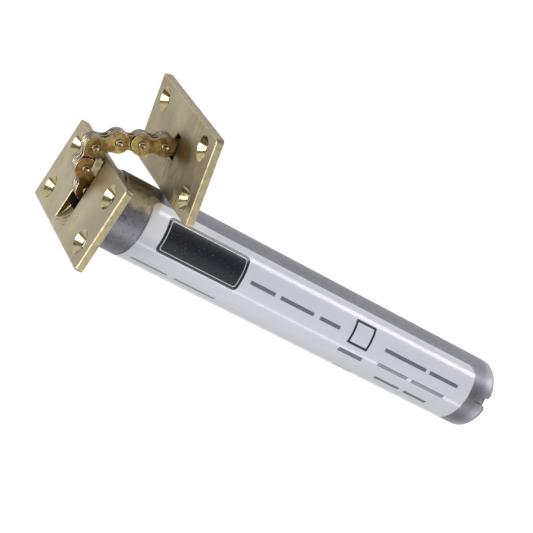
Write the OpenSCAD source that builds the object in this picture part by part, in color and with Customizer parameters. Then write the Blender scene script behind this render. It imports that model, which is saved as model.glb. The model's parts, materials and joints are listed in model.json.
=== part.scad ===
// Concealed chain door closer.
// A sprung, oil-damped cylinder let into the edge of a door pulls a laminated chain,
// whose far end is held by an anchor plate on the door frame.
// Origin: centre of the face plate's front face.
// +X runs along the cylinder into the door, +Z along the plates' long side and the chain
// pins, +Y towards the side on which the chain lies.

/* [Plates] */
// Width of the face plate and the anchor plate
plate_w = 37.5; // [37:0.5:39]
// Height of the face plate and the anchor plate
plate_h = 75; // [72:1:80]
// Thickness of both plates
plate_t = 3.2; // [3:0.1:3.6]
// Radius of the plates' corners
plate_corner_r = 1.6; // [0.5:0.1:3]
// Bevel along the front edges of the plates
plate_bevel = 0.45; // [0.2:0.05:0.8]
// Diameter of the plates' screw holes
screw_d = 5.2; // [4.6:0.1:5.6]
// Diameter of the screw holes' countersinks at the front face
sink_d = 10.5; // [9.5:0.1:11]
// Distance between the screw holes across the plate
screw_span_y = 21; // [20:0.5:22]
// Distance between the screw holes along the plate
screw_span_z = 54; // [50:0.5:56]

/* [Slots] */
// Height of the face plate's chain slot along Z
slot_h = 12; // [11.5:0.1:12.5]
// Edge of the face plate's slot on the side where the chain lies
slot_top = 13.2; // [13.1:0.1:13.4]
// Edge of the through opening on the side of the ramp
slot_bottom = 7.6; // [7.2:0.1:8]
// Distance from the plate's centre to the outer end of the worn ramp
ramp_end = 15; // [14:0.1:16]
// Width of the anchor plate's slot
anchor_slot_w = 10.8; // [10.4:0.1:12]
// Height of the anchor plate's slot along Z
anchor_slot_h = 5.4; // [5:0.1:8]

/* [Chain] */
// Distance between the chain's pins
pitch = 9.525; // [9.5:0.005:9.55]
// Height of a chain plate at its ends
link_h = 9; // [8.6:0.1:9.1]
// Height of a chain plate at its waist
waist_h = 6.2; // [5.5:0.1:7]
// Thickness of a chain plate
link_t = 1.2; // [1.1:0.02:1.22]
// Distance between the middles of neighbouring layers of the chain
layer = 1.32; // [1.3:0.01:1.36]
// Diameter of the chain pins
pin_d = 3.2; // [3:0.05:3.4]
// Length of the pins that rivet the chain
pin_l = 8.2; // [7.8:0.1:8.4]
// Distance from the anchor plate's front face to the anchor pin
anchor_pin_depth = 4.5; // [4.4:0.1:4.8]

/* [Cylinder] */
// Outer diameter of the cylinder tube
tube_d = 32; // [31.8:0.1:32.2]
// Wall thickness of the tube
tube_wall = 1.8; // [1.7:0.1:1.9]
// Distance from the face plate's front to the tube's front rim
tube_front = 12.6; // [12.4:0.1:13]
// Distance from the face plate's front to the closed end
overall_l = 217; // [216:0.5:220]
// Radius of the rounded closed end
end_r = 3; // [2.6:0.1:3.6]
// Step from the tube's outside down to the neck behind the face plate
neck_step = 1.6; // [1.4:0.1:2]
// Width of the notch in the closed end's rim
notch_w = 3.8; // [3:0.1:4.6]
// Length of the notch along the cylinder
notch_l = 9.4; // [8:0.1:10.4]
// Turn of the notch about the cylinder's axis
notch_turn = 78.5; // [0:0.5:90]
// Radius of the hollow that the rim has beside the notch
dent_r = 6; // [5:0.5:8]
// Depth of that hollow
dent_depth = 1.4; // [1:0.1:1.5]

/* [Label] */
// Start of the label along the cylinder
label_x0 = 25.5; // [24:0.5:30]
// Distance from the label's end to the closed end
label_end_gap = 13; // [12:0.5:18.5]
// Thickness of the label
label_t = 0.15; // [0.1:0.05:0.3]
// Turn of the label's upper edge about the cylinder's axis
label_a0 = 32; // [28:1:36]
// Part of the circumference that the label covers
label_span = 200; // [190:5:220]
// Radius of the label's corners
label_corner = 5; // [3:0.5:8]

/* [Inside] */
// Position of the chain's first pin, held in the fork
fork_pin_x = 20.19; // [20:0.05:20.4]
// Diameter of the pull rod
rod_d = 7; // [6.6:0.1:7.2]
// Front face of the gland
gland_x = 80.5; // [80.5:0.5:81]
// Length of the gland
gland_l = 11; // [10.5:0.5:11]
// Front face of the piston with the chain drawn out as shown
piston_x = 140.5; // [140:0.5:141]
// Length of the piston
piston_l = 12; // [12:0.5:12.5]
// Wire diameter of the closing spring
spring_wire = 3; // [2.8:0.1:3.1]
// Turns of the closing spring
spring_turns = 11; // [10:0.5:11]
// Radial gap between the closing spring and the tube's bore
spring_gap = 1.3; // [1.1:0.1:1.6]
// Length of the end plug
plug_l = 10.85; // [10.6:0.05:11]

/* [Clearances] */
// Radial clearance of a running fit
run = 0.05; // [0.03:0.01:0.08]

/* [Hidden] */
$fn = 64;

brass = [0.72, 0.64, 0.47];
chain_gold = [0.58, 0.50, 0.31];
steel_grey = [0.52, 0.52, 0.54];
dark_steel = [0.28, 0.27, 0.27];
bright_steel = [0.72, 0.72, 0.74];
rubber_black = [0.08, 0.08, 0.08];
label_white = [0.84, 0.85, 0.89];

// Cylinder
bore_r = tube_d / 2 - tube_wall;
slip_r = bore_r - 0.05;
sink_depth = (sink_d - screw_d) / 2;
chan_h = 9.8;
chan_w = 10.4;
head_rear = 28;
head_pin_x = 15;
head_pin_d = 3;
head_pin_turns = [80, 200, 320];
neck_r = tube_d / 2 - neck_step;
mouth_top = min(slot_top, neck_r - 1.6);
collar_x = 10.6;
collar_w = 1.9;
collar_r = tube_d / 2 - 0.2;
label_x1 = overall_l - label_end_gap;

// Worn ramp of the face plate, part of a cylinder about Z
ramp_r = 16;
ramp_rise = ramp_end - slot_bottom;
ramp_half = norm([ramp_rise, plate_t]) / 2;
ramp_sag = sqrt(ramp_r * ramp_r - ramp_half * ramp_half);
ramp_c = [plate_t / 2 - ramp_sag * ramp_rise / (2 * ramp_half),
    -(ramp_end + slot_bottom) / 2 + ramp_sag * plate_t / (2 * ramp_half)];

// Chain: direction of each link from the fork to the anchor pin
link_turn = [180, 164.2, 124.7, 99.1, 39, 22.2, 23.6, 14.3];
function pin_at(n) = n == 0 ? [fork_pin_x, 0]
    : pin_at(n - 1) + pitch * [cos(link_turn[n - 1]), sin(link_turn[n - 1])];
anchor_turn = link_turn[7];
waist_r = 4;
anchor_at = pin_at(8) - anchor_pin_depth * [cos(anchor_turn), sin(anchor_turn)];

// Inside
gland_rear = gland_x + gland_l;
spring_r = bore_r - spring_gap - spring_wire / 2;
plug_rear = overall_l - tube_wall;
plug_x = plug_rear - 0.05 - plug_l;
plug_end = plug_rear - 0.05;
reg_end = plug_end - 2;
seal_l = 3;
ring_r = 0.95;
ring_groove = 2.6;
piston_r = bore_r - 0.2;
nut_x = piston_x + 7.5;
valve_r = 8.6;
ball_r = 2;
seat_r = 1.25;
seat_x = piston_x + 3;
ball_x = seat_x + sqrt(ball_r * ball_r - seat_r * seat_r) + 0.03;
cage_r = 2.4;
screw_x = piston_x + piston_l - 2.4;
tongue_l = 6;

// Keeper, and the cup behind the anchor plate
keeper_top = pin_at(4).y - 2.93;
keeper_h = 2.4;
keeper_x0 = -0.95;
keeper_lift = 0.15;
cup_x = 10.8;
cup_w = anchor_slot_w + 3.6;
cup_h = anchor_slot_h + 7;
anchor_pin_l = cup_h - 0.4;

// Turns a shape drawn up the Z axis so that it lies along +X
module along_x(x) {
    translate([x, 0, 0])
        rotate([0, 90, 0])
            children();
}

// A ring or a disc along +X
module ring(x, len, outer, inner = 0) {
    along_x(x)
        difference() {
            cylinder(h = len, r = outer);
            if (inner > 0)
                translate([0, 0, -1])
                    cylinder(h = len + 2, r = inner);
        }
}

// Rounded rectangle, first side along X and second along Y
module round_rect(w, h, r) {
    square([w - 2 * r, h], center = true);
    square([w, h - 2 * r], center = true);
    for (x = [-1, 1])
        for (y = [-1, 1])
            translate([x * (w / 2 - r), y * (h / 2 - r)])
                circle(r = r);
}

// One of the four bevels at the front edge of a plate
module edge_bevel(turn, dist, len) {
    rotate([turn, 0, 0])
        translate([0, dist, 0])
            rotate([0, 0, -45])
                cube([2 * plate_bevel * sin(45), 3, len], center = true);
}

// Screw hole with its countersink at x = 0
module screw_hole() {
    along_x(-1)
        cylinder(h = plate_t + 2, d = screw_d);
    along_x(0)
        cylinder(h = sink_depth, r1 = sink_d / 2, r2 = screw_d / 2);
    along_x(-1)
        cylinder(h = 1, d = sink_d);
}

// Plate with its front face at x = 0, without its slot
module plate_blank() {
    difference() {
        rotate([90, 0, 90])
            linear_extrude(plate_t)
                round_rect(plate_w, plate_h, plate_corner_r);
        for (s = [0, 180])
            edge_bevel(s, plate_w / 2, plate_h + 2);
        for (s = [90, 270])
            edge_bevel(s, plate_h / 2, plate_w + 2);
        for (y = [-1, 1])
            for (z = [-1, 1])
                translate([0, y * screw_span_y / 2, z * screw_span_z / 2])
                    screw_hole();
    }
}

module face_plate() {
    color(brass)
        difference() {
            plate_blank();
            translate([-1, -slot_bottom, -slot_h / 2])
                cube([plate_t + 2, slot_bottom + slot_top, slot_h]);
            translate([ramp_c.x, ramp_c.y, -slot_h / 2])
                cylinder(h = slot_h, r = ramp_r, $fn = 128);
        }
}

// Head: neck, spigot and the channel that leads the chain
module head() {
    color(dark_steel)
        difference() {
            union() {
                ring(plate_t, tube_front - plate_t, neck_r);
                ring(tube_front - 2, head_rear - tube_front + 2, bore_r);
            }
            translate([0, 0, -chan_h / 2])
                linear_extrude(chan_h)
                    polygon([[0, -slot_bottom], [plate_t, -slot_bottom],
                        [head_rear / 4, -chan_w / 2], [head_rear + 1, -chan_w / 2],
                        [head_rear + 1, chan_w / 2], [head_rear / 2, chan_w / 2],
                        [plate_t, mouth_top], [0, mouth_top]]);
            for (a = head_pin_turns)
                rotate([a, 0, 0])
                    translate([head_pin_x, bore_r - 4, 0])
                        rotate([-90, 0, 0])
                            cylinder(h = 6, d = head_pin_d);
        }
}

// Dark collar between the neck and the tube's rim
module collar_ring() {
    color(dark_steel)
        ring(collar_x, collar_w, collar_r, neck_r);
}

// Pins that hold the tube on the head
module head_pins() {
    color(steel_grey)
        for (a = head_pin_turns)
            rotate([a, 0, 0])
                translate([head_pin_x, bore_r - 4, 0])
                    rotate([-90, 0, 0])
                        cylinder(h = 4 + tube_wall, d = head_pin_d);
}

// Half outline of the closed end, radius along X and length along Y
module end_outline(r, x0, x1, fillet) {
    translate([0, x0])
        square([r, x1 - x0 - fillet]);
    translate([0, x0])
        square([r - fillet, x1 - x0]);
    translate([r - fillet, x1 - fillet])
        circle(r = fillet);
}

// Notch through the wall of the closed end's rim, with a hollow across the rim beside it
module rim_notch() {
    round_x = overall_l - notch_l + notch_w / 2;
    rotate([notch_turn, 0, 0]) {
        translate([round_x, tube_d / 2 - 5, 0]) {
            rotate([-90, 0, 0])
                cylinder(h = 8, d = notch_w);
            translate([0, 0, -notch_w / 2])
                cube([notch_l, 8, notch_w]);
        }
        translate([overall_l - end_r, tube_d / 2 - end_r, 0])
            rotate([0, 0, 30])
                translate([end_r + dent_r - dent_depth, 0, 0])
                    rotate([90, 0, 0])
                        cylinder(h = 40, r = dent_r, center = true);
    }
}

module tube() {
    color(steel_grey)
        difference() {
            along_x(0)
                rotate_extrude($fn = 128)
                    difference() {
                        end_outline(tube_d / 2, tube_front, overall_l, end_r);
                        end_outline(bore_r, 0, plug_rear, end_r - tube_wall);
                        translate([-1, 0])
                            square([8.5, overall_l + 5]);
                        translate([tube_d / 2, tube_front])
                            rotate(45)
                                square([0.9, 0.9], center = true);
                    }
            ring(gland_x - 1.6, 1.6, bore_r + 0.8);
            for (a = head_pin_turns)
                rotate([a, 0, 0])
                    translate([head_pin_x, bore_r - 3, 0])
                        rotate([-90, 0, 0])
                            cylinder(h = 6, d = head_pin_d);
            rim_notch();
        }
}

// Cuts one corner of the label round
module label_corner_cut(x, sx, turn, st) {
    rotate([turn, 0, 0])
        translate([x, 0, 0])
            rotate([-90, 0, 0])
                linear_extrude(tube_d)
                    difference() {
                        square(2 * label_corner, center = true);
                        translate([sx * label_corner, -st * label_corner])
                            circle(r = label_corner + 0.2);
                        translate([sx * label_corner * 2, 0])
                            square([2 * label_corner, 5 * label_corner], center = true);
                        translate([0, -st * label_corner * 2])
                            square([5 * label_corner, 2 * label_corner], center = true);
                    }
}

module label() {
    label_a1 = label_a0 + label_span;
    color(label_white)
        difference() {
            rotate([label_a0, 0, 0])
                rotate([90, 0, 90])
                    rotate_extrude(angle = label_span, $fn = 128)
                        translate([tube_d / 2 + 0.02, label_x0])
                            square([label_t, label_x1 - label_x0]);
            label_corner_cut(label_x0, 1, label_a0, 1);
            label_corner_cut(label_x1, -1, label_a0, 1);
            label_corner_cut(label_x0, 1, label_a1, -1);
            label_corner_cut(label_x1, -1, label_a1, -1);
        }
}

// Gland that the pull rod slides through and the spring pushes on
module gland() {
    color(steel_grey)
        difference() {
            ring(gland_x, gland_l, slip_r, rod_d / 2 + 0.4);
            ring(gland_x - 1, seal_l + 1, rod_d / 2 + 2.5);
            ring(gland_x + seal_l, gland_l, rod_d / 2 + 1.5);
            ring(gland_x + 4.5, ring_groove, bore_r + 1, bore_r - 2 * ring_r);
        }
}

module gland_clip() {
    color(bright_steel)
        difference() {
            ring(gland_x - 1.55, 1.5, bore_r + 0.75, bore_r - 1.6);
            translate([gland_x - 3, -2, -20])
                cube([4, 4, 20]);
        }
}

module o_ring(x) {
    color(rubber_black)
        along_x(x)
            rotate_extrude()
                translate([bore_r - ring_r, 0])
                    circle(r = ring_r, $fn = 32);
}

module gland_oring() o_ring(gland_x + 4.5 + ring_groove / 2);

module rod_bush() {
    color(brass)
        ring(gland_x + seal_l + 0.1, gland_l - seal_l - 0.1, rod_d / 2 + 1.5, rod_d / 2 + run);
}

module rod_seal() {
    color(rubber_black)
        ring(gland_x + 0.1, seal_l - 0.1, rod_d / 2 + 2.5, rod_d / 2 + run);
}

// End plug behind the spun-in end of the tube
module end_plug() {
    color(bright_steel)
        difference() {
            along_x(0)
                rotate_extrude($fn = 128)
                    end_outline(slip_r, plug_x, plug_end, end_r - tube_wall);
            ring(plug_x + 1.2, ring_groove, bore_r + 1, bore_r - 2 * ring_r);
            ring(plug_x - 1, 20, 3 + run);
            ring(plug_x - 1, 1.4 + 1, 8);
        }
}

module end_oring() o_ring(plug_x + 1.2 + ring_groove / 2);

// Speed regulator, a needle with a driver slot in its head
module regulator() {
    color(brass)
        difference() {
            union() {
                ring(plug_x + 0.6, reg_end - plug_x - 0.6, 3);
                along_x(plug_x - 1.2)
                    cylinder(h = 1.8, r1 = 0.6, r2 = 1.8);
            }
            translate([reg_end - 1.2, -5, -0.5])
                cube([3, 10, 1]);
        }
}

// Round wire along a coil about X, as one closed surface
module coil(x0, x1, mean_r, wire_r, turns, sides, steps) {
    rings = [for (i = [0:steps])
        let (t = i / steps, a = 360 * turns * t,
            c = [x0 + (x1 - x0) * t, mean_r * cos(a), mean_r * sin(a)])
        [for (j = [0:sides - 1])
            let (b = 360 * j / sides)
            c + wire_r * [sin(b), cos(b) * cos(a), cos(b) * sin(a)]]];
    pts = [for (r = rings) for (q = r) q];
    walls = [for (i = [0:steps - 1]) for (j = [0:sides - 1])
        let (k = (j + 1) % sides, a = i * sides, b = a + sides)
        [a + j, b + j, b + k, a + k]];
    first = [for (j = [0:sides - 1]) j];
    last = [for (j = [sides - 1:-1:0]) steps * sides + j];
    polyhedron(points = pts, faces = concat([first], walls, [last]), convexity = 10);
}

module main_spring() {
    color(dark_steel)
        coil(gland_rear + spring_wire / 2, piston_x - spring_wire / 2, spring_r,
            spring_wire / 2, spring_turns, 8, 16 * spring_turns);
}

// Fork with two tongues that carry the first chain pin
module rod_fork() {
    color(steel_grey)
        difference() {
            union() {
                for (s = [-1, 1])
                    translate([fork_pin_x, 0, s * layer])
                        linear_extrude(link_t, center = true) {
                            circle(d = link_h);
                            translate([0, -waist_h / 2])
                                square([tongue_l, waist_h]);
                        }
                ring(fork_pin_x + 4.9, 6, 4.5);
            }
            translate([fork_pin_x, 0, 0])
                cylinder(h = 20, d = pin_d + 2 * run, center = true);
            ring(fork_pin_x + 6.9, 20, 2.5);
        }
}

module pull_rod() {
    color(bright_steel) {
        ring(fork_pin_x + 7, 3.9, 2.5);
        ring(fork_pin_x + 10.9, piston_x - fork_pin_x - 10.9, rod_d / 2);
        ring(piston_x, 11.4, 2.5);
    }
}

module piston() {
    color(steel_grey)
        difference() {
            ring(piston_x, piston_l, piston_r, 2.5);
            ring(piston_x + 3, 3.4, bore_r + 1, piston_r - 2.2);
            ring(nut_x, 10, 4.9);
            translate([0, valve_r, 0]) {
                ring(piston_x - 1, 10, seat_r);
                ring(seat_x, 20, cage_r);
            }
        }
}

module piston_seal() {
    color(rubber_black)
        ring(piston_x + 3.1, 3.2, bore_r - run, piston_r - 2.1);
}

module piston_nut() {
    color(bright_steel)
        along_x(nut_x)
            difference() {
                cylinder(h = 3.8, r = 4.6, $fn = 6);
                translate([0, 0, -1])
                    cylinder(h = 6, r = 2.5);
            }
}

// Check valve in the piston, which lets the oil past as the door opens
module check_ball() {
    color(bright_steel)
        translate([ball_x, valve_r, 0])
            sphere(r = ball_r);
}

module ball_spring() {
    color(dark_steel)
        translate([0, valve_r, 0])
            coil(ball_x + ball_r - 0.2, screw_x - 0.2, 1.35, 0.18, 4, 8, 48);
}

module valve_screw() {
    color(bright_steel)
        translate([0, valve_r, 0])
            ring(screw_x, 2.2, cage_r, 0.8);
}

// Peg that keeps the chain from drawing in until the closer is fitted
module keeper() {
    color([0.80, 0.76, 0.66]) {
        translate([keeper_x0, keeper_top - keeper_h, -slot_h / 2])
            cube([-keeper_x0 - keeper_lift, keeper_h, slot_h / 2 + 4.4]);
        translate([-keeper_lift, keeper_top, 4.4])
            linear_extrude(1.8)
                polygon([[0, -6.9], [-2.35, -5.4], [-3.05, -0.6], [-1.75, 0], [-0.4, 0],
                    [-0.3, -1.9], [0, -2.6]]);
    }
}

// Outline of a chain plate from one pin to the next, narrowed at its waist
module link_outline() {
    difference() {
        union() {
            circle(d = link_h);
            translate([pitch, 0])
                circle(d = link_h);
            translate([0, -link_h / 2 + 0.6])
                square([pitch, link_h - 1.2]);
        }
        for (s = [-1, 1])
            translate([pitch / 2, s * (waist_h / 2 + waist_r)])
                circle(r = waist_r);
    }
}

// Chain plates of link n in the layers listed
module link_plates(n, layers, hole_d) {
    at = pin_at(n - 1);
    color(chain_gold)
        translate([at.x, at.y, 0])
            rotate([0, 0, link_turn[n - 1]])
                for (k = layers)
                    translate([0, 0, k * layer])
                        linear_extrude(link_t, center = true)
                            difference() {
                                link_outline();
                                circle(d = hole_d);
                                translate([pitch, 0])
                                    circle(d = hole_d);
                            }
}

// Riveted pins at both ends of link n
module link_pins(n) {
    color(chain_gold)
        for (k = [n - 1, n]) {
            at = pin_at(k);
            translate([at.x, at.y, 0]) {
                cylinder(h = pin_l - 0.6, d = pin_d, center = true);
                for (s = [0, 180])
                    rotate([s, 0, 0])
                        translate([0, 0, pin_l / 2 - 0.3])
                            cylinder(h = 0.3, d1 = pin_d, d2 = pin_d - 0.8);
            }
        }
}

outer_layers = [-2, 0, 2];
inner_layers = [-1, 1];
inner_hole = pin_d + 2 * run;
module link_1() link_plates(1, outer_layers, pin_d);
module link_1_pins() link_pins(1);
module link_2() link_plates(2, inner_layers, inner_hole);
module link_3() link_plates(3, outer_layers, pin_d);
module link_3_pins() link_pins(3);
module link_4() link_plates(4, inner_layers, inner_hole);
module link_5() link_plates(5, outer_layers, pin_d);
module link_5_pins() link_pins(5);
module link_6() link_plates(6, inner_layers, inner_hole);
module link_7() link_plates(7, outer_layers, pin_d);
module link_7_pins() link_pins(7);
module link_8() link_plates(8, inner_layers, inner_hole);

// Places a shape drawn in the face plate's frame at the anchor plate
module at_anchor() {
    translate([anchor_at.x, anchor_at.y, 0])
        rotate([0, 0, anchor_turn])
            children();
}

module anchor_plate() {
    color(brass)
        at_anchor()
            difference() {
                plate_blank();
                translate([-1, -anchor_slot_w / 2, -anchor_slot_h / 2])
                    cube([plate_t + 2, anchor_slot_w, anchor_slot_h]);
                translate([anchor_pin_depth, 0, 0])
                    cylinder(h = anchor_pin_l + 0.6, d = pin_d + 2 * run, center = true);
            }
}

// Cup behind the anchor plate that holds the anchor pin
module anchor_bracket() {
    color(dark_steel)
        at_anchor()
            difference() {
                translate([plate_t, -cup_w / 2, -cup_h / 2])
                    cube([cup_x - plate_t, cup_w, cup_h]);
                translate([0, -anchor_slot_w / 2, -anchor_slot_h / 2])
                    cube([cup_x - 1.5, anchor_slot_w, anchor_slot_h]);
                translate([anchor_pin_depth, 0, 0])
                    cylinder(h = 30, d = pin_d, center = true);
            }
}

module anchor_pin() {
    color(bright_steel)
        at_anchor()
            translate([anchor_pin_depth, 0, 0])
                cylinder(h = anchor_pin_l, d = pin_d, center = true);
}

echo(coil_gap = (piston_x - gland_rear - spring_wire) / spring_turns - spring_wire);
echo(pins = [for (k = [0:8]) pin_at(k)], anchor = anchor_at, ramp = ramp_c);

face_plate();
head();
collar_ring();
head_pins();
tube();
label();
gland();
gland_clip();
gland_oring();
rod_bush();
rod_seal();
end_plug();
end_oring();
regulator();
main_spring();
rod_fork();
pull_rod();
piston();
piston_seal();
piston_nut();
check_ball();
ball_spring();
valve_screw();
keeper();
link_1();
link_1_pins();
link_2();
link_3();
link_3_pins();
link_4();
link_5();
link_5_pins();
link_6();
link_7();
link_7_pins();
link_8();
anchor_plate();
anchor_bracket();
anchor_pin();
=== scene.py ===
"""Looks of a concealed chain door closer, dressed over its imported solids.

The frame is the solids' own: the origin is the centre of the face plate's front face, +X runs
along the cylinder, +Z along the plates' long side and +Y towards the side on which the chain
lies. Lengths are in metres, and the patterns of the finishes are drawn in millimetres.
"""

import json
from math import cos, pi, radians, sin

import bmesh
import bpy
from mathutils import Matrix, Vector, noise


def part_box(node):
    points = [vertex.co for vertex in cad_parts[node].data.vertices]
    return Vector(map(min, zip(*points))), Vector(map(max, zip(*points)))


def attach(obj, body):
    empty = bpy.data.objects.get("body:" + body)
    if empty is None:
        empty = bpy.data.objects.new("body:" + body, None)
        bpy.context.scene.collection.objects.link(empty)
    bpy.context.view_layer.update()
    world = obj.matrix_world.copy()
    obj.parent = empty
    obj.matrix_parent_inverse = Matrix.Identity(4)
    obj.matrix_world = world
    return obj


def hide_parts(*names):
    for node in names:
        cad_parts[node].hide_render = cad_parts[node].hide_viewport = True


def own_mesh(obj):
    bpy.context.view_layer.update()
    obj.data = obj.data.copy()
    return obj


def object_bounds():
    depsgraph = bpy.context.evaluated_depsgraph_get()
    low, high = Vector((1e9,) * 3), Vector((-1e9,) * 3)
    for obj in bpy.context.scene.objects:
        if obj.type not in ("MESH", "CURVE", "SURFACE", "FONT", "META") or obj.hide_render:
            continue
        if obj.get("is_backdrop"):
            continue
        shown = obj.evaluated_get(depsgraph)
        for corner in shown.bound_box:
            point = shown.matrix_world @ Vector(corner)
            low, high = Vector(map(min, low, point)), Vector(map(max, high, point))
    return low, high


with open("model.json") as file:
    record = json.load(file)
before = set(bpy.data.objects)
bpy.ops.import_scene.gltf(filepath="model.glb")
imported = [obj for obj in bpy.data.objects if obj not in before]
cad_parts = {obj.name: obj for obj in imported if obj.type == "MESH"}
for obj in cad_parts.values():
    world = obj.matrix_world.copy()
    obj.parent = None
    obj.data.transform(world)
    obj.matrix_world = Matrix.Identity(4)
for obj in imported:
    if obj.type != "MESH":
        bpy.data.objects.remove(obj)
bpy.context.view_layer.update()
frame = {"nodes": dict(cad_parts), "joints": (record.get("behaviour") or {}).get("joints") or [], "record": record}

bl_info = {
    "name": "Chain door closer looks",
    "version": (1, 0, 0),
    "blender": (4, 5, 0),
    "location": "View3D > Sidebar > Closer",
    "description": "Dresses a concealed chain door closer, one button for each group of pieces",
    "category": "Object",
}

BODY_OF = {
    node: body
    for body, nodes in frame["record"]["behaviour"]["bodies"].items()
    for node in nodes
}
JOINT = {joint["name"]: joint for joint in frame["joints"]}
MM = 0.001

# The anchor plate: its turn about Z in degrees, its pin and the middle of its front face
ANCHOR_TURN = 14.3
ANCHOR_PIN = Vector(JOINT["anchor_hinge"]["pos_m"])
ANCHOR_PIN_DEPTH = 4.5 * MM
ANCHOR_AT = ANCHOR_PIN - ANCHOR_PIN_DEPTH * Vector(
    (cos(radians(ANCHOR_TURN)), sin(radians(ANCHOR_TURN)), 0)
)

# Both plates, in mm from the middle: half their sides, their screw holes, and the area in
# which every edge belongs to the slot
HALF_Y, HALF_Z = 18.75, 37.5
HOLE_Y, HOLE_Z, SINK_R = 10.5, 27.0, 5.25
SLOT_AREA_Y, SLOT_AREA_Z = 16, 6.3

# Each plate's slot in mm, along Y and Z: its middle, and half its length and height
FACE_SLOT = (2.8, 0.0), (10.4, 6.0)
ANCHOR_SLOT = (0.0, 0.0), (5.4, 2.7)

# The order of the plates' finishes; the fifth is painted shade on the sides facing +Y
SATIN, SINK, SIDE, BEVEL, SHADED_SIDE, SLOT_WALL = range(6)

# The label, in mm: its outer radius and half its angle in degrees
LABEL_R = 16.17
LABEL_HALF_ANGLE = 100

# The side of a pin's dimple on which the painted shadow lies
SHADOW_SIDE = Vector((-0.32, 0.95, 0))

# The photograph's camera: its place in metres, its axes and its lens in mm
CAMERA_AT = Vector((-0.28897, 0.16844, 0.65550))
CAMERA_RIGHT = Vector((0.77274, 0.55245, 0.31253))
CAMERA_UP = Vector((-0.40318, 0.80751, -0.43054))
CAMERA_AHEAD = Vector((0.49022, -0.20669, -0.84673))
CAMERA_LENS = 124.64

# The middle of the bright part of the surround
CEILING = (0.36, -0.42, 0.83)

# Stains that both plates share
OLIVE_STAIN = (0.30, 0.235, 0.12)
BROWN_STAIN = (0.135, 0.085, 0.035)


# Finishes ----


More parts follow.
